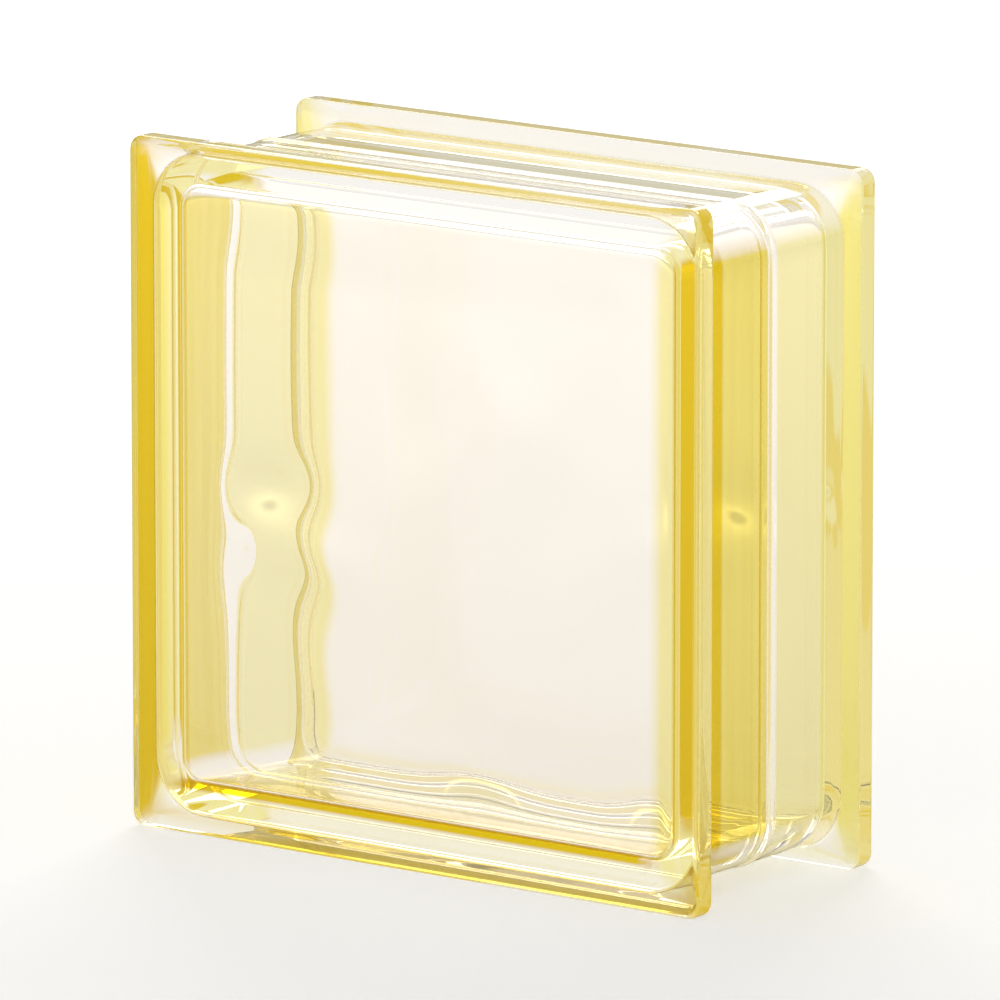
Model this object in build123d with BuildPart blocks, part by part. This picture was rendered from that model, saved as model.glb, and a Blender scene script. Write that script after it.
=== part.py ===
"""Hollow glass building block, one fused piece of pressed yellow glass.

Two pressed half shells are melted together along a seam round the middle of the
sides. Each half has a smooth outer face whose rim stands out past the side wall,
so that the four sides form a channel for mortar, and a flowing relief pressed into
the inner face. The block stands on its edge, as it is laid in a wall: X is its width,
Y its thickness with the front towards -Y, and Z its height from the floor.
All sizes are in millimetres.
"""

import os
from math import cos, exp, radians, sin

from build123d import *

# Outside of the block
block_width = 190.0
block_height = 190.0
block_depth = 80.0
face_corner_radius = 4.0
face_edge_radius = 1.6

# Rim of each face, its sloping shoulder and the mortar channel behind it
rim_thickness = 6.5
rim_edge_radius = 0.8
shoulder_run = 2.0
shoulder_slope = 55.0
channel_depth = 5.0
channel_root_chamfer = 1.0

# Glass thickness and the hollow inside; the face is measured at its plain border
face_thickness = 9.8
wall_thickness = 6.5
mould_draft = 1.6
hollow_corner_radius = 8.0
hollow_fillet_radius = 3.2

# Bead of melted glass along the seam, inside and outside the side wall
bead_height = 0.5

# Pressed relief of the inner faces, which rises from the plain border to a plateau
relief_rise = 1.0
relief_margin = 3.5
relief_fade = 22.0

# Swells and dents of the relief: height, place across and up from the middle of the
# face, reach along and beside the crest, and the crest's heading in degrees
relief_swells = (
    (1.9, -54.0, 3.0, 11.0, 7.0, 8.0),
    (1.4, -70.0, -20.0, 18.0, 11.0, 80.0),
    (0.7, -32.0, 40.0, 40.0, 24.0, 80.0),
    (-1.2, -40.0, -14.0, 20.0, 8.0, -5.0),
    (-1.1, 20.0, -68.0, 15.0, 12.0, -10.0),
    (0.8, 46.0, 10.0, 36.0, 13.0, 65.0),
    (-0.7, 10.0, 14.0, 30.0, 12.0, 35.0),
    (0.6, -12.0, -44.0, 34.0, 11.0, -25.0),
)
relief_point_spacing = 5.0

# The relief's plate starts just clear of the border and reaches past the hollow
plate_clearance = 0.05
plate_margin = 6.0


def relief_share(distance):
    """Share of the relief at this distance inside the hollow's edge."""
    reach = min(max((distance - relief_margin) / relief_fade, 0), 1)
    return reach * reach * (3 - 2 * reach)


def relief_height(across, up):
    """Height of the pressed relief above the plain border of the inner face."""
    height = relief_rise
    for swell, middle, level, along_reach, beside_reach, heading in relief_swells:
        run, climb = across - middle, up - level
        along = run * cos(radians(heading)) + climb * sin(radians(heading))
        beside = climb * cos(radians(heading)) - run * sin(radians(heading))
        height += swell * exp(-((along / along_reach) ** 2) - (beside / beside_reach) ** 2)
    share = relief_share(mouth_width / 2 - abs(across))
    return height * share * relief_share(mouth_height / 2 - abs(up))


# The seam's plane, facing the front, and how far from it each level lies
seam = Plane((0, 0, block_height / 2), x_dir=(1, 0, 0), z_dir=(0, -1, 0))
face_offset = block_depth / 2
rim_offset = face_offset - rim_thickness
hollow_offset = face_offset - face_thickness

# Bottom of the mortar channel, round an even wall, and the mouth of the hollow
channel_width = block_width - 2 * channel_depth
channel_height = block_height - 2 * channel_depth
channel_corner_radius = hollow_corner_radius + wall_thickness
mouth_width = channel_width - 2 * wall_thickness
mouth_height = channel_height - 2 * wall_thickness

# Plate of glass whose lower side carries the relief
plate_half_width = mouth_width / 2 + plate_margin
plate_half_height = mouth_height / 2 + plate_margin
plate_level = hollow_offset + plate_clearance
columns = round(2 * plate_half_width / relief_point_spacing)
rows = round(2 * plate_half_height / relief_point_spacing)
relief_points = [
    [
        seam.from_local_coords((across, up, plate_level - relief_height(across, up)))
        for up in (plate_half_height * (2 * row / rows - 1) for row in range(rows + 1))
    ]
    for across in (
        plate_half_width * (2 * column / columns - 1) for column in range(columns + 1)
    )
]
relief_face = Face.make_surface_from_array_of_points(relief_points, tol=0.01)
with BuildPart() as relief_plate:
    extrude(relief_face, amount=face_thickness, dir=seam.z_dir)

# Plunger: the shape that presses the hollow of one half
with BuildPart() as plunger:
    with BuildSketch(seam):
        RectangleRounded(mouth_width, mouth_height, hollow_corner_radius)
    extrude(amount=hollow_offset, taper=mould_draft)
    fillet(plunger.faces().sort_by(Axis.Y)[0].edges(), hollow_fillet_radius)
    add(relief_plate.part, mode=Mode.SUBTRACT)

# Bead of glass squeezed out by the melting, a round cord in the middle of the wall
with BuildSketch(seam) as wall_middle:
    RectangleRounded(
        channel_width - wall_thickness,
        channel_height - wall_thickness,
        channel_corner_radius - wall_thickness / 2,
    )
bead_path = wall_middle.sketch.wire()
with BuildPart() as seam_bead:
    with BuildSketch(Plane(bead_path @ 0, x_dir=seam.z_dir, z_dir=bead_path % 0)):
        Circle(wall_thickness / 2 + bead_height)
    sweep(path=bead_path)

with BuildPart() as glass_block:
    # Core between the rims, whose sides are the bottom of the mortar channel
    with BuildSketch(seam):
        RectangleRounded(channel_width, channel_height, channel_corner_radius)
    extrude(amount=face_offset, both=True)

    # Rim of each face, with a shoulder that slopes in behind it
    for side in (1, -1):
        with BuildSketch(seam.offset(side * rim_offset)) as rim_outline:
            RectangleRounded(block_width, block_height, face_corner_radius)
        extrude(amount=side * rim_thickness)
        extrude(rim_outline.sketch, amount=-side * shoulder_run, taper=shoulder_slope)

    # Edge of each face and crest of each rim, then the slant at the channel's root
    outlines = glass_block.edges().filter_by(seam).group_by(Axis.Y)
    fillet(outlines[0] + outlines[-1], face_edge_radius)
    fillet(outlines[1] + outlines[-2], rim_edge_radius)
    rim_backs = glass_block.faces().filter_by(seam).sort_by(Axis.Y)[1:-1]
    roots = [back.inner_wires()[0].edges() for back in rim_backs]
    chamfer(roots[0] + roots[1], channel_root_chamfer)

    # Hollow, pressed by the same plunger from both sides, and the seam that closes it
    add(plunger.part, mode=Mode.SUBTRACT)
    add(plunger.part.rotate(Axis.Z, 180), mode=Mode.SUBTRACT)
    add(seam_bead.part)

glass_block.part.label = "glass_block"
os.makedirs("parts", exist_ok=True)
export_step(glass_block.part, "parts/glass_block.step")
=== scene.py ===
"""Looks of a hollow glass building block, laid out as an add-on and run as a script."""

from math import cos, pi, radians, sin, sqrt, tan

import bpy
import numpy as np
from bpy.props import FloatProperty, FloatVectorProperty, PointerProperty
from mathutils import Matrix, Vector


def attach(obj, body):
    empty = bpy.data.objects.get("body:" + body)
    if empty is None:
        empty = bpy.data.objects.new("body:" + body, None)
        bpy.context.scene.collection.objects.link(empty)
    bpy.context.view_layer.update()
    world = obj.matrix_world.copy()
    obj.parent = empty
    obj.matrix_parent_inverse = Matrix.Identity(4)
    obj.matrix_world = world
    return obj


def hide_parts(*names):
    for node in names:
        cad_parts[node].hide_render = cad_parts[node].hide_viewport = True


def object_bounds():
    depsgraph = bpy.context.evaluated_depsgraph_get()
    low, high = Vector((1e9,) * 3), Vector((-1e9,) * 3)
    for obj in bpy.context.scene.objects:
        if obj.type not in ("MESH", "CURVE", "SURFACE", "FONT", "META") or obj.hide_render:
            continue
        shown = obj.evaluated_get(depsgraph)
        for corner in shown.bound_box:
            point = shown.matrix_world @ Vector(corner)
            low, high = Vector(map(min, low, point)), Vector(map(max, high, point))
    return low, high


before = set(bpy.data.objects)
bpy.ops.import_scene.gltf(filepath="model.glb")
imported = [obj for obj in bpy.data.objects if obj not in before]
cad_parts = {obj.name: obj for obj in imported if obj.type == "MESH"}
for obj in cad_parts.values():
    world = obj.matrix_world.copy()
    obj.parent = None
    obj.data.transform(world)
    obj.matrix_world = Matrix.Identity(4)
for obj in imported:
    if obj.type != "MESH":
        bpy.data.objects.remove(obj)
cad_low, cad_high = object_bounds()

bl_info = {
    "name": "Glass Block",
    "version": (1, 0, 0),
    "blender": (4, 5, 0),
    "location": "View3D > Sidebar > Glass Block",
    "description": "Builds a hollow glass building block and a plain stage round it",
    "category": "Add Mesh",
}

MM = 0.001

# How finely the glass is meshed: steps along a side, round a corner, down a wall,
# round a fillet and from the edge of an inner face to its middle
SIDE_STEPS = 76
CORNER_STEPS = 8
WALL_STEPS = 8
FILLET_STEPS = 5
RELIEF_STEPS = 76

# Rings of an outer face over the side wall, by their distance from its edge in mm
FACE_RINGS = (18.0, 17.0, 16.0, 15.0, 13.0, 12.0, 10.0, 9.0, 7.0)

# Rings of the channel's bottom, by their distance from the outer face in mm
CHANNEL_RINGS = (13.0, 16.0, 17.0, 18.0, 20.5, 37.6)

# Swells and dents of the pressed relief: height, place across and up from the middle
# of the face, reach along and beside the crest, all in mm, and the crest's heading
RELIEF_SWELLS = (
    (1.9, -54.0, 3.0, 11.0, 7.0, 8.0),
    (1.4, -70.0, -20.0, 18.0, 11.0, 80.0),
    (0.7, -32.0, 40.0, 40.0, 24.0, 80.0),
    (-1.2, -40.0, -14.0, 20.0, 8.0, -5.0),
    (-1.1, 20.0, -68.0, 15.0, 12.0, -10.0),
    (0.8, 46.0, 10.0, 36.0, 13.0, 65.0),
    (-0.7, 10.0, 14.0, 30.0, 12.0, 35.0),
    (0.6, -12.0, -44.0, 34.0, 11.0, -25.0),
)

# Where the tints fade in or out, each from one number to the next, in mm: across the
# mitre of the corners, and from the front half to the back half
MITRE = (-3.0, 3.0)
# The back half's side walls take a paler copy of the yellow: painted light from behind
MIDDLE = (-1.0, 1.0)

# The same by the distance from the block's outline
ARRIS_END = (0.5, 1.5)
BOTTOM_RIM_START = (7.0, 9.0)
RIM_TINT_END = (12.0, 16.0)
# The gold line over the bottom fillet is a painted reflection of the channel's gold
LINE_START, LINE_END = (12.0, 13.0), (15.0, 16.0)
GUIDED_START, GUIDED_END = (9.0, 10.0), (17.0, 18.0)
CHANNEL_SIDE_END = (5.5, 6.5)

# The same by the distance from the seam, and the last two by that from the outer face
# The seam's band is left clear of the wall tint as a painted highlight
SEAM_HIGHLIGHT_END = (1.8, 2.4)
UPRIGHT_ROOT_END = (17.0, 18.0)
BOTTOM_ROOT_START = (10.0, 13.0)

# Sharp fades in mm: before the end of the rim, and on both sides of the shoulder's end
RIM_FADE = 0.3
SHOULDER_FADE = 0.2

# Shares of tints and of the painted glow's gold at bottom and top; upright sides take all
# The paler level sides and almost clear top are painted light, for glass that is yellow all round
RIM_SHARES = (0.05, 0.0)
ARRIS_SHARES = (0.1, 0.0)
SIDE_SHARES = (1.0, 0.3)
SHOULDER_SIDE_SHARES = (0.15, 0.0)
SHOULDER_SHARES = (0.03, 0.0)
GOLD_GLOW_SHARES = (0.45, 0.0)

# Other shares: what the rim's tint gains inwards at the bottom, the fold tint at the
# bottom's root, the side tint on the arris and the gold of the painted glow in the back half
BOTTOM_RIM_RISE = 0.3
BOTTOM_ROOT_SHARE = 0.3
ARRIS_SHARE = 0.5
BACK_GOLD_GLOW = 0.6

# Light that was mirrored so often in the walls leaves with the tint of the folds
GUIDED_REFLECTION = 2

# After so many mirrorings, or turns in all, a ray inside the glass is followed no further
# There the glass glows with painted light in the trapped colours
LAST_REFLECTION = 5
LAST_TURN = 13

# Counts of turns are whole numbers, so they are compared with half a turn less
HALF_TURN = 0.5

# Refraction index, and the streaks: how dense they are, their detail and their levels
GLASS_INDEX = 1.52
STREAK_SCALE = (7.0, 180.0, 7.0)
STREAK_DETAIL = 2.0
STREAK_LEVELS = (0.3, 0.7)

# Whites of the lamps, the world and the floor, and the floor's finish
WARM_WHITE = (1.0, 0.99, 0.97)
PLAIN_WHITE = (1.0, 1.0, 1.0)
COOL_WHITE = (0.98, 0.99, 1.0)
FLOOR_ROUGHNESS = 0.9

# Each lamp's name, place and width in metres, and white
BACK_LAMP = ("back light", (-0.9, 1.3, 1.2), 1.2, WARM_WHITE)
FRONT_LAMP = ("front light", (0.3, -1.6, 1.4), 2.2, PLAIN_WHITE)

# How far the camera sees, in metres
CAMERA_REACH = 100.0


def length(name, description, millimetres):
    """A length property in metres."""
    return FloatProperty(
        name=name,
        description=description,
        default=millimetres * MM,
        min=0.0,
        subtype="DISTANCE",
        unit="LENGTH",
        precision=4,
    )


def angle(name, description, degrees):
    """An angle property."""
    return FloatProperty(
        name=name,
        description=description,
        default=radians(degrees),
        subtype="ANGLE",
        unit="ROTATION",
    )


def watts(name, description, default):
    """A lamp's power."""
    return FloatProperty(
        name=name, description=description, default=default, min=0.0, unit="POWER"
    )


def share(name, description, default):
    """A number from 0 to 1."""
    return FloatProperty(
        name=name, description=description, default=default, min=0.0, max=1.0, subtype="FACTOR"
    )


def colour(name, description, default):
    """A colour property."""
    return FloatVectorProperty(
        name=name,
        description=description,
        default=default,
        size=3,
        min=0.0,
        max=1.0,
        subtype="COLOR",
    )


class GlassBlockSizes(bpy.types.PropertyGroup):
    """Sizes of the block's section."""

    width: length("Width", "Outer width", (cad_high.x - cad_low.x) / MM)
    height: length("Height", "Outer height", (cad_high.z - cad_low.z) / MM)
    depth: length("Thickness", "Face to face", (cad_high.y - cad_low.y) / MM)
    face_corner_radius: length("Face corner", "Radius of a face's corners", 4.0)
    face_edge_radius: length("Face edge", "Radius of the edge of a face", 1.6)
    rim_thickness: length("Rim", "How far the rim reaches back from its face", 6.5)
    rim_edge_radius: length("Rim crest", "Radius between rim and shoulder", 0.8)
    shoulder_run: length("Shoulder", "Run of the slope behind the rim", 2.0)
    shoulder_slope: angle("Shoulder slope", "Slope of the shoulder", 55.0)
    channel_depth: length("Channel", "Depth of the mortar channel", 5.0)
    channel_root_chamfer: length("Channel root", "Slant between shoulder and channel", 1.0)
    face_thickness: length("Face glass", "Thickness of a face at its plain border", 9.8)
    wall_thickness: length("Wall glass", "Thickness of the side wall", 6.5)
    mould_draft: angle("Draft", "Slope of the inner side walls", 1.6)
    hollow_corner_radius: length("Hollow corner", "Radius of the hollow's corners", 8.0)
    hollow_fillet_radius: length("Hollow fillet", "Radius where wall meets face", 3.2)
    bead_height: length("Bead", "How far the melted seam stands out", 0.5)
    relief_rise: length("Relief", "Height of the relief's plateau", 1.0)
    relief_margin: length("Relief margin", "Width of the face's plain border", 3.5)
    relief_fade: length("Relief fade", "Width over which the relief rises", 22.0)


class GlassBlockFinish(bpy.types.PropertyGroup):
    """Colours of the glass."""

    face_colour: colour("Face", "Tint of the clear faces", (0.968, 0.943, 0.905))
    rim_colour: colour("Rims", "Tint of the faces over the side walls", (0.866, 0.752, 0.19))
    # The front half's deeper and the back half's paler copy of the side yellow are painted shade
    # and painted light, as if lit from behind
    side_colour: colour("Sides", "Tint of the front half's side walls", (0.65, 0.46, 0.017))
    streak_colour: colour("Streaks", "Tint of the paler streaks in them", (0.72, 0.55, 0.04))
    back_lit_colour: colour("Back half", "Tint of the back half's side walls", (0.82, 0.74, 0.24))
    fold_colour: colour("Folds", "Tint of the shoulder and the channel's root", (0.58, 0.31, 0.0))
    # Colours of the painted glow that the glass gives off where rays are followed no further
    trapped_glow_colour: colour("Trapped", "Light left after many turns", (0.86, 0.66, 0.08))
    clear_trapped_glow_colour: colour("Trapped, clear", "The same in clear parts", (0.95, 0.90, 0.70))


class GlassBlockStage(bpy.types.PropertyGroup):
    """Camera, light and floor."""

    camera_distance: length("Camera distance", "From the block's middle", 3700.0)
    camera_azimuth: angle("Azimuth", "Round from the front", 37.0)
    camera_elevation: angle("Elevation", "Above level", 11.6)
    view_width: length("View", "Width that the camera sees at the block", 268.0)
    floor_colour: colour("Floor", "Colour of the floor", (0.86, 0.85, 0.83))
    floor_reach: length("Floor reach", "From the block to the edge of the floor", 12000.0)
    floor_glow: share("Floor glow", "White added to the floor near the block, as it is seen", 0.53)
    far_glow: share("Far glow", "White added to the floor far away, as it is seen", 0.72)
    glow_start: length("Glow start", "Where the floor begins to turn whiter", 500.0)
    glow_end: length("Glow end", "Where it is whitest", 3500.0)
    world_light: share("World", "Strength of the soft even light", 0.26)
    back_light: watts("Back light", "Power of the lamp behind the block", 14.0)
    front_light: watts("Front light", "Power of the wide lamp in front of it", 7.0)


def relief_share(distance, sizes):
    """Share of the relief at this distance inside the hollow's edge."""
    reach = np.clip((distance - sizes.relief_margin) / sizes.relief_fade, 0, 1)
    return reach * reach * (3 - 2 * reach)


def relief_height(across, up, sizes):
    """Height of the pressed relief above the plain border of the inner face."""
    height = sizes.relief_rise
    for swell, middle, level, along_reach, beside_reach, heading in RELIEF_SWELLS:
        run, climb = across - middle * MM, up - level * MM
        along = run * cos(radians(heading)) + climb * sin(radians(heading))
        beside = climb * cos(radians(heading)) - run * sin(radians(heading))
        fall = (along / (along_reach * MM)) ** 2 + (beside / (beside_reach * MM)) ** 2
        height = height + swell * MM * np.exp(-fall)
    mouth = sizes.channel_depth + sizes.wall_thickness
    height = height * relief_share(sizes.width / 2 - mouth - abs(across), sizes)
    return height * relief_share(sizes.height / 2 - mouth - abs(up), sizes)


def rounded_rectangle(half_width, half_height, radius):
    """Points round a rounded rectangle, always as many, and their outward directions."""
    points = []
    outward = []
    corners = ((1, 1), (-1, 1), (-1, -1), (1, -1))
    for corner, (right, top) in enumerate(corners):
        centre = np.array((right * (half_width - radius), top * (half_height - radius)))
        for step in range(CORNER_STEPS + 1):
            turn = pi / 2 * (corner + step / CORNER_STEPS)
            direction = np.array((cos(turn), sin(turn)))
            points.append(centre + radius * direction)
            outward.append(direction)
        next_right, next_top = corners[(corner + 1) % 4]
        start = points[-1]
        next_centre = np.array(
            (next_right * (half_width - radius), next_top * (half_height - radius))
        )
        end = next_centre + radius * outward[-1]
        for step in range(1, SIDE_STEPS):
            points.append(start + (end - start) * step / SIDE_STEPS)
            outward.append(outward[-1])
    return np.array(points), np.array(outward)


def rounded_path(points, radii):
    """A path of straight runs whose inner corners are rounded by the given radii."""
    path = [np.array(points[0])]
    for before, corner, after, radius in zip(points, points[1:], points[2:], radii):
        before, corner, after = np.array(before), np.array(corner), np.array(after)
        if radius == 0:
            path.append(corner)
            continue
        back = (before - corner) / np.linalg.norm(before - corner)
        ahead = (after - corner) / np.linalg.norm(after - corner)
        half_turn = (pi - np.arccos(np.clip(back @ ahead, -1, 1))) / 2
        reach = radius * tan(half_turn)
        middle = (back + ahead) / np.linalg.norm(back + ahead)
        centre = corner + middle * radius / cos(half_turn)
        start = corner + back * reach - centre
        end = corner + ahead * reach - centre
        for step in range(FILLET_STEPS + 1):
            turn = half_turn * (2 * step / FILLET_STEPS - 1)
            blend = sin(half_turn - turn) * start + sin(half_turn + turn) * end
            path.append(centre + blend / sin(2 * half_turn))
    path.append(np.array(points[-1]))
    return path


def bead(sizes):
    """Distances from the seam down the bead, and how far it reaches from the wall's middle."""
    reach = sizes.wall_thickness / 2 + sizes.bead_height
    foot = sqrt(reach**2 - (sizes.wall_thickness / 2) ** 2)
    levels = [foot * (1 - step / FILLET_STEPS) for step in range(FILLET_STEPS + 1)]
    return [(level, sqrt(reach**2 - level**2)) for level in levels]


def outer_rings(sizes, side):
    """Rings of one half's outside, from its face to the seam."""
    face = sizes.depth / 2
    rim = face - sizes.rim_thickness
    shoulder = rim - sizes.shoulder_run
    channel = sizes.channel_depth
    slant = sizes.channel_root_chamfer
    shoulder_reach = sizes.shoulder_run * tan(sizes.shoulder_slope)
    channel_corner_radius = sizes.hollow_corner_radius + sizes.wall_thickness
    profile = rounded_path(
        (
            (2 * sizes.face_edge_radius, face),
            (0.0, face),
            (0.0, rim),
            (shoulder_reach, shoulder),
            (channel - slant, shoulder),
            (channel, shoulder - slant),
        ),
        (sizes.face_edge_radius, sizes.rim_edge_radius, 0, 0),
    )
    profile += [(channel, face - depth * MM) for depth in CHANNEL_RINGS]
    profile.append((channel, bead(sizes)[0][0]))
    wall_middle = channel + sizes.wall_thickness / 2
    profile += [(wall_middle - reach, level) for level, reach in bead(sizes)[1:]]
    face_rings = [(inset * MM, face) for inset in FACE_RINGS]
    rings = []
    for inset, level in face_rings + profile:
        if inset > shoulder_reach and (level < rim or inset > channel):
            radius = channel_corner_radius + channel - inset
        else:
            radius = sizes.face_corner_radius - inset
        points, _ = rounded_rectangle(
            sizes.width / 2 - inset, sizes.height / 2 - inset, radius
        )
        rings.append(place(points, level, side, sizes))
    return rings


def front_to_back(front, back):
    """Rings of both halves in one row, from the front's to the back's, sharing the seam."""
    return front + back[::-1][1:]


def place(points, level, side, sizes):
    """Places of a ring's points: side 1 is the front half and -1 the back half."""
    levels = np.broadcast_to(level, (len(points),))
    return np.column_stack(
        (points[:, 0], -side * levels, sizes.height / 2 + points[:, 1])
    )


def hollow_rings(sizes, side):
    """Rings of one half's hollow, from the middle of its inner face to the seam."""
    mouth = sizes.channel_depth + sizes.wall_thickness
    border_level = sizes.depth / 2 - sizes.face_thickness
    draft = sizes.mould_draft

    def ring(inset):
        return rounded_rectangle(
            sizes.width / 2 - inset,
            sizes.height / 2 - inset,
            sizes.hollow_corner_radius - (inset - mouth),
        )[0]

    profile = rounded_path(
        (
            (mouth + 2 * sizes.hollow_fillet_radius, border_level),
            (mouth + border_level * tan(draft), border_level),
            (mouth, 0.0),
        ),
        (sizes.hollow_fillet_radius,),
    )[1:-1]
    wall_top = profile[-1][1]
    wall_foot = bead(sizes)[0][0]
    for step in range(1, WALL_STEPS + 1):
        level = wall_top + (wall_foot - wall_top) * step / WALL_STEPS
        profile.append((mouth + level * tan(draft), level))
    wall_middle = mouth - sizes.wall_thickness / 2
    for level, reach in bead(sizes)[1:]:
        profile.append((max(wall_middle + reach, mouth + level * tan(draft)), level))

    rings = []
    border = ring(profile[0][0])
    for step in range(1, RELIEF_STEPS):
        points = border * step / RELIEF_STEPS
        height = relief_height(side * points[:, 0], points[:, 1], sizes)
        rings.append(place(points, border_level - height, side, sizes))
    for inset, level in profile:
        rings.append(place(ring(inset), level, side, sizes))
    return rings


def skin(rings, first_middle, last_middle, outside):
    """Vertices and faces of a closed skin through the rings, with a fan at each end."""
    count = len(rings[0])
    vertices = np.vstack([*rings, first_middle, last_middle])
    first = len(rings) * count
    last = first + 1
    faces = []
    for row in range(len(rings) - 1):
        for column in range(count):
            across = (column + 1) % count
            faces.append(
                (
                    row * count + column,
                    row * count + across,
                    (row + 1) * count + across,
                    (row + 1) * count + column,
                )
            )
    end = (len(rings) - 1) * count
    for column in range(count):
        across = (column + 1) % count
        faces.append((first, across, column))
        faces.append((last, end + column, end + across))
    if outside:
        faces = [face[::-1] for face in faces]
    return vertices, faces


def glass_mesh(sizes):
    """The whole glass body: its outside and, facing inwards, its sealed hollow."""
    middle = sizes.height / 2
    face = sizes.depth / 2
    inner = face - sizes.face_thickness
    outside = front_to_back(outer_rings(sizes, 1), outer_rings(sizes, -1))
    relief = relief_height(0.0, 0.0, sizes)
    hollow = front_to_back(hollow_rings(sizes, 1), hollow_rings(sizes, -1))
    outer_vertices, outer_faces = skin(
        outside, (0.0, -face, middle), (0.0, face, middle), outside=True
    )
    inner_vertices, inner_faces = skin(
        hollow, (0.0, relief - inner, middle), (0.0, inner - relief, middle), outside=False
    )
    mesh = bpy.data.meshes.new("glass block")
    shift = len(outer_vertices)
    faces = outer_faces + [tuple(shift + index for index in face) for face in inner_faces]
    mesh.from_pydata(np.vstack((outer_vertices, inner_vertices)).tolist(), [], faces)
    mesh.update()
    mesh.validate()
    for polygon in mesh.polygons:
        polygon.use_smooth = True
    for name, values in tint_shares(mesh, sizes).items():
        mesh.attributes.new(name, "FLOAT", "POINT").data.foreach_set("value", values)
    return mesh


def ramp(distance, start, end):
    """0 before start, 1 past end, both in mm, and between them a straight rise with the
    distance, which is in metres."""
    return np.clip((distance / MM - start) / (end - start), 0, 1)


def band(distance, start, end):
    """1 between two fades, one in and one out."""
    return ramp(distance, *start) * (1 - ramp(distance, *end))


def tint_shares(mesh, sizes):
    """How much of each tint every vertex takes, by its place in the block's section."""
    places = np.zeros(len(mesh.vertices) * 3)
    mesh.vertices.foreach_get("co", places)
    across, through, up = places.reshape(-1, 3).T
    from_side = sizes.width / 2 - abs(across)
    from_end = sizes.height / 2 - abs(up - sizes.height / 2)
    inset = np.minimum(from_side, from_end)
    depth = sizes.depth / 2 - abs(through)
    rim_end = sizes.rim_thickness / MM
    shoulder_end = rim_end + sizes.shoulder_run / MM
    # 1 in the back half, whose walls take the paler copy as painted light from behind and whose
    # folds take no fold tint
    behind = ramp(through, *MIDDLE)

    # The upright sides are deepest, and the top almost clear: painted light on the level sides
    upright = ramp(from_end - from_side, *MITRE)
    at_top = up > sizes.height / 2

    def around(bottom, top):
        """1 on the upright sides, and the given shares at the bottom and at the top."""
        return upright + (1 - upright) * np.where(at_top, top, bottom)

    # Faces and rims over the side wall, and the gold line over the bottom fillet: painted
    # reflection
    rim = 1 - ramp(depth, rim_end - RIM_FADE, rim_end)
    bottom, top = RIM_SHARES
    rim_tint = rim * (1 - ramp(inset, *RIM_TINT_END))
    rim_tint *= around(bottom + BOTTOM_RIM_RISE * ramp(inset, *BOTTOM_RIM_START), top)
    line = rim * band(inset, LINE_START, LINE_END) * (1 - at_top) * (1 - upright)
    guided = rim * band(inset, GUIDED_START, GUIDED_END) * upright
    arris = rim * (1 - ramp(inset, *ARRIS_END)) * around(*ARRIS_SHARES) * ARRIS_SHARE

    # Bottom of the channel, but for the seam, left clear as a painted highlight
    channel = (1 - rim) * (1 - ramp(inset, *CHANNEL_SIDE_END))
    shoulder = channel * (
        1 - ramp(depth, shoulder_end - SHOULDER_FADE, shoulder_end + SHOULDER_FADE)
    )
    wall = channel * ramp(abs(through), *SEAM_HIGHLIGHT_END) * around(*SIDE_SHARES)
    wall *= 1 - shoulder * (1 - around(*SHOULDER_SIDE_SHARES))

    # Shoulder and root of the channel
    upright_root = 1 - ramp(depth, *UPRIGHT_ROOT_END)
    level_root = ramp(depth, *BOTTOM_ROOT_START) * BOTTOM_ROOT_SHARE * (1 - at_top)
    root = channel * (1 - shoulder) * (upright * upright_root + (1 - upright) * level_root)
    folds = root + shoulder * around(*SHOULDER_SHARES)
    return {
        "rim share": rim_tint,
        "side share": np.maximum(wall, arris),
        # Share of the paler back-half copy: painted light from behind
        "back lit share": behind,
        "fold share": folds * (1 - behind),
        # Painted reflection of the channel's gold, over the bottom fillet
        "painted gold line share": line,
        "guided share": guided,
        # Share of gold in the painted glow
        "gold glow share": around(*GOLD_GLOW_SHARES) * (1 - (1 - BACK_GOLD_GLOW) * behind),
    }


def new_material(name):
    """An empty material with an output node."""
    material = bpy.data.materials.new(name)
    material.use_nodes = True
    nodes = material.node_tree.nodes
    nodes.clear()
    output = nodes.new("ShaderNodeOutputMaterial")
    return material, nodes, material.node_tree.links, output


def calculate(nodes, links, operation, first, second):
    """The result of a Math node on a socket and a socket or a number."""
    node = nodes.new("ShaderNodeMath")
    node.operation = operation
    links.new(first, node.inputs[0])
    if isinstance(second, bpy.types.NodeSocket):
        links.new(second, node.inputs[1])
    else:
        node.inputs[1].default_value = second
    return node.outputs["Value"]


def ray(nodes, name):
    """What Light Path says of a ray, such as how often it was mirrored."""
    return nodes.new("ShaderNodeLightPath").outputs[name]


def reached(nodes, links, name, count):
    """1 for rays that have been mirrored, or have turned, so often."""
    return calculate(nodes, links, "GREATER_THAN", ray(nodes, name), count - HALF_TURN)


def trapped_light(nodes, links):
    """1 where a ray has turned so often inside the glass that it is followed no further, and there
    the glass glows with painted light.
    """
    mirrored = reached(nodes, links, "Glossy Depth", LAST_REFLECTION)
    turned = reached(nodes, links, "Ray Depth", LAST_TURN)
    return calculate(nodes, links, "MAXIMUM", mirrored, turned)


def attribute(nodes, name):
    """The factor output of a mesh attribute."""
    node = nodes.new("ShaderNodeAttribute")
    node.attribute_name = name
    return node.outputs["Fac"]


def mix(nodes, links, first, second, factor):
    """A mix of two colours, each a colour or a socket."""
    node = nodes.new("ShaderNodeMix")
    node.data_type = "RGBA"
    for name, value in (("A", first), ("B", second)):
        if isinstance(value, bpy.types.NodeSocket):
            links.new(value, node.inputs[name])
        else:
            node.inputs[name].default_value = (*value, 1.0)
    links.new(factor, node.inputs["Factor"])
    return node.outputs["Result"]


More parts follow.
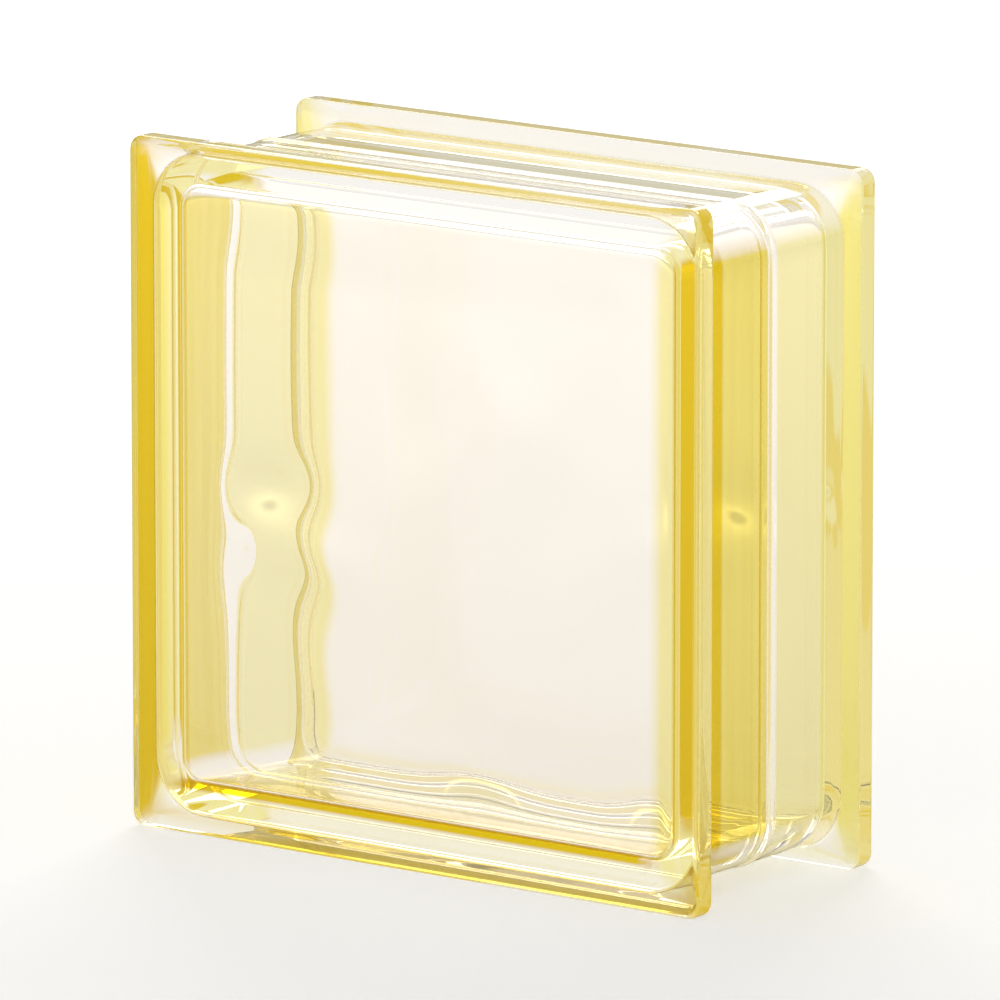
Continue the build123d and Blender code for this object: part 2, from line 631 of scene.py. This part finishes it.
def map_range(nodes, links, value, start, end):
    """A Map Range node on the value, from the given start and end."""
    node = nodes.new("ShaderNodeMapRange")
    node.inputs["From Min"].default_value = start
    node.inputs["From Max"].default_value = end
    links.new(value, node.inputs["Value"])
    return node


def streaks(nodes, links):
    """Fine streaks along the walls, side by side through the thickness of the block."""
    spot = nodes.new("ShaderNodeTexCoord")
    stretch = nodes.new("ShaderNodeMapping")
    stretch.inputs["Scale"].default_value = STREAK_SCALE
    links.new(spot.outputs["Object"], stretch.inputs["Vector"])
    noise = nodes.new("ShaderNodeTexNoise")
    noise.inputs["Scale"].default_value = 1.0
    noise.inputs["Detail"].default_value = STREAK_DETAIL
    links.new(stretch.outputs["Vector"], noise.inputs["Vector"])
    return map_range(nodes, links, noise.outputs["Fac"], *STREAK_LEVELS).outputs["Result"]


def fold_tint(nodes, links):
    """Share of the fold tint: in the folds, over the bottom line, a painted reflection seen only
    at the first surface, and on guided light.
    """
    first_seen = calculate(nodes, links, "LESS_THAN", ray(nodes, "Ray Depth"), HALF_TURN)
    line = calculate(nodes, links, "MULTIPLY", first_seen, attribute(nodes, "painted gold line share"))
    mirrored = reached(nodes, links, "Glossy Depth", GUIDED_REFLECTION)
    guided = calculate(nodes, links, "MULTIPLY", mirrored, attribute(nodes, "guided share"))
    folds = calculate(nodes, links, "MAXIMUM", attribute(nodes, "fold share"), line)
    return calculate(nodes, links, "MAXIMUM", folds, guided)


def glass_material(finish):
    """Clear glass with yellow side walls and golden folds, glowing with painted light where rays
    are followed no further.
    """
    material, nodes, links, output = new_material("yellow glass")
    glass = nodes.new("ShaderNodeBsdfPrincipled")
    glass.inputs["Transmission Weight"].default_value = 1.0
    glass.inputs["Roughness"].default_value = 0.0
    glass.inputs["IOR"].default_value = GLASS_INDEX
    side = mix(nodes, links, finish.side_colour, finish.streak_colour, streaks(nodes, links))
    # The back half's walls take the paler copy: painted light from behind
    walls = mix(nodes, links, side, finish.back_lit_colour, attribute(nodes, "back lit share"))
    rim_share = attribute(nodes, "rim share")
    rims = mix(nodes, links, finish.face_colour, finish.rim_colour, rim_share)
    tint = mix(nodes, links, rims, walls, attribute(nodes, "side share"))
    deeper = mix(nodes, links, tint, finish.fold_colour, fold_tint(nodes, links))
    links.new(deeper, glass.inputs["Base Color"])
    # Painted glow, where rays are followed no further
    gold = attribute(nodes, "gold glow share")
    trapped = mix(nodes, links, finish.clear_trapped_glow_colour, finish.trapped_glow_colour, gold)
    links.new(trapped, glass.inputs["Emission Color"])
    links.new(trapped_light(nodes, links), glass.inputs["Emission Strength"])
    links.new(glass.outputs["BSDF"], output.inputs["Surface"])
    return material


def seen_by_camera(nodes, links):
    """1 for rays from the camera or through glass; reflections keep the softer light."""
    through_glass = ray(nodes, "Is Transmission Ray")
    return calculate(nodes, links, "MAXIMUM", ray(nodes, "Is Camera Ray"), through_glass)


def floor_material(stage):
    """A pale matt floor, lifted towards white where it is seen."""
    material, nodes, links, output = new_material("pale floor")
    matt = nodes.new("ShaderNodeBsdfPrincipled")
    matt.inputs["Base Color"].default_value = (*stage.floor_colour, 1.0)
    matt.inputs["Roughness"].default_value = FLOOR_ROUGHNESS
    matt.inputs["Specular IOR Level"].default_value = 0.0
    matt.inputs["Emission Color"].default_value = (*WARM_WHITE, 1.0)
    spot = nodes.new("ShaderNodeTexCoord")
    distance = nodes.new("ShaderNodeVectorMath")
    distance.operation = "LENGTH"
    links.new(spot.outputs["Object"], distance.inputs[0])
    strength = map_range(
        nodes, links, distance.outputs["Value"], stage.glow_start, stage.glow_end
    )
    strength.interpolation_type = "SMOOTHSTEP"
    strength.inputs["To Min"].default_value = stage.floor_glow
    strength.inputs["To Max"].default_value = stage.far_glow
    seen = seen_by_camera(nodes, links)
    glow = calculate(nodes, links, "MULTIPLY", seen, strength.outputs["Result"])
    links.new(glow, matt.inputs["Emission Strength"])
    links.new(matt.outputs["BSDF"], output.inputs["Surface"])
    return material


def pale_world(scene, stage):
    """White where it is seen, and a soft even light on the object."""
    world = bpy.data.worlds.new("studio")
    scene.world = world
    world.use_nodes = True
    nodes, links = world.node_tree.nodes, world.node_tree.links
    nodes.clear()
    output = nodes.new("ShaderNodeOutputWorld")
    light = nodes.new("ShaderNodeBackground")
    light.inputs["Color"].default_value = (*COOL_WHITE, 1.0)
    light.inputs["Strength"].default_value = stage.world_light
    backdrop = nodes.new("ShaderNodeBackground")
    backdrop.inputs["Color"].default_value = (*PLAIN_WHITE, 1.0)
    backdrop.inputs["Strength"].default_value = 1.0
    choose = nodes.new("ShaderNodeMixShader")
    links.new(seen_by_camera(nodes, links), choose.inputs["Fac"])
    links.new(light.outputs["Background"], choose.inputs[1])
    links.new(backdrop.outputs["Background"], choose.inputs[2])
    links.new(choose.outputs["Shader"], output.inputs["Surface"])


def area_light(name, spot, width, white, power, target):
    """A soft square lamp that faces the target."""
    lamp = bpy.data.lights.new(name, "AREA")
    lamp.energy = power
    lamp.size = width
    lamp.color = white
    light = bpy.data.objects.new(name, lamp)
    light.location = spot
    light.rotation_mode = "QUATERNION"
    light.rotation_quaternion = (Vector(spot) - target).to_track_quat("Z", "Y")
    bpy.context.scene.collection.objects.link(light)


class OBJECT_OT_glass_block(bpy.types.Operator):
    """Build the glass block over its solid"""

    bl_idname = "object.glass_block"
    bl_label = "Glass Block"
    bl_options = {"REGISTER", "UNDO"}

    def execute(self, context):
        sizes = context.scene.glass_block_sizes
        block = bpy.data.objects.new("glass_block_body", glass_mesh(sizes))
        context.scene.collection.objects.link(block)
        block.data.materials.append(glass_material(context.scene.glass_block_finish))
        weighted = block.modifiers.new("even flats", "WEIGHTED_NORMAL")
        weighted.keep_sharp = True
        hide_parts("glass_block")
        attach(block, "root")
        return {"FINISHED"}


class SCENE_OT_glass_block_stage(bpy.types.Operator):
    """Set the camera, the lights and the pale floor"""

    bl_idname = "scene.glass_block_stage"
    bl_label = "Stage"
    bl_options = {"REGISTER", "UNDO"}

    def execute(self, context):
        scene = context.scene
        stage = scene.glass_block_stage
        scene.view_settings.view_transform = "Standard"
        middle = (cad_low + cad_high) / 2
        azimuth, elevation = stage.camera_azimuth, stage.camera_elevation
        towards = Vector(
            (
                sin(azimuth) * cos(elevation),
                -cos(azimuth) * cos(elevation),
                sin(elevation),
            )
        )
        lens = bpy.data.cameras.new("camera")
        camera = bpy.data.objects.new("camera", lens)
        camera.location = middle + towards * stage.camera_distance
        camera.rotation_mode = "QUATERNION"
        camera.rotation_quaternion = towards.to_track_quat("Z", "Y")
        lens.lens = lens.sensor_width * stage.camera_distance / stage.view_width
        lens.clip_end = CAMERA_REACH
        scene.collection.objects.link(camera)
        scene.camera = camera

        floor = bpy.data.meshes.new("floor")
        reach = stage.floor_reach
        floor.from_pydata(
            [(-reach, -reach, 0), (reach, -reach, 0), (reach, reach, 0), (-reach, reach, 0)],
            [],
            [(0, 1, 2, 3)],
        )
        floor_object = bpy.data.objects.new("floor", floor)
        floor.materials.append(floor_material(stage))
        scene.collection.objects.link(floor_object)

        pale_world(scene, stage)
        area_light(*BACK_LAMP, stage.back_light, middle)
        area_light(*FRONT_LAMP, stage.front_light, middle)
        return {"FINISHED"}


class VIEW3D_PT_glass_block(bpy.types.Panel):
    """Sizes and colours of the glass block, and its operators"""

    bl_idname = "VIEW3D_PT_glass_block"
    bl_label = "Glass Block"
    bl_space_type = "VIEW_3D"
    bl_region_type = "UI"
    bl_category = "Glass Block"

    def draw(self, context):
        layout = self.layout
        scene = context.scene
        for group in (scene.glass_block_sizes, scene.glass_block_finish, scene.glass_block_stage):
            box = layout.box()
            for name in group.__annotations__:
                box.prop(group, name)
        layout.operator(OBJECT_OT_glass_block.bl_idname)
        layout.operator(SCENE_OT_glass_block_stage.bl_idname)


CLASSES = (
    GlassBlockSizes,
    GlassBlockFinish,
    GlassBlockStage,
    OBJECT_OT_glass_block,
    SCENE_OT_glass_block_stage,
    VIEW3D_PT_glass_block,
)


def register():
    for each in CLASSES:
        bpy.utils.register_class(each)
    bpy.types.Scene.glass_block_sizes = PointerProperty(type=GlassBlockSizes)
    bpy.types.Scene.glass_block_finish = PointerProperty(type=GlassBlockFinish)
    bpy.types.Scene.glass_block_stage = PointerProperty(type=GlassBlockStage)


def unregister():
    del bpy.types.Scene.glass_block_stage
    del bpy.types.Scene.glass_block_finish
    del bpy.types.Scene.glass_block_sizes
    for each in reversed(CLASSES):
        bpy.utils.unregister_class(each)


def main():
    """Builds everything."""
    register()
    bpy.ops.scene.glass_block_stage()
    bpy.ops.object.glass_block()


if __name__ == "__main__":
    main()
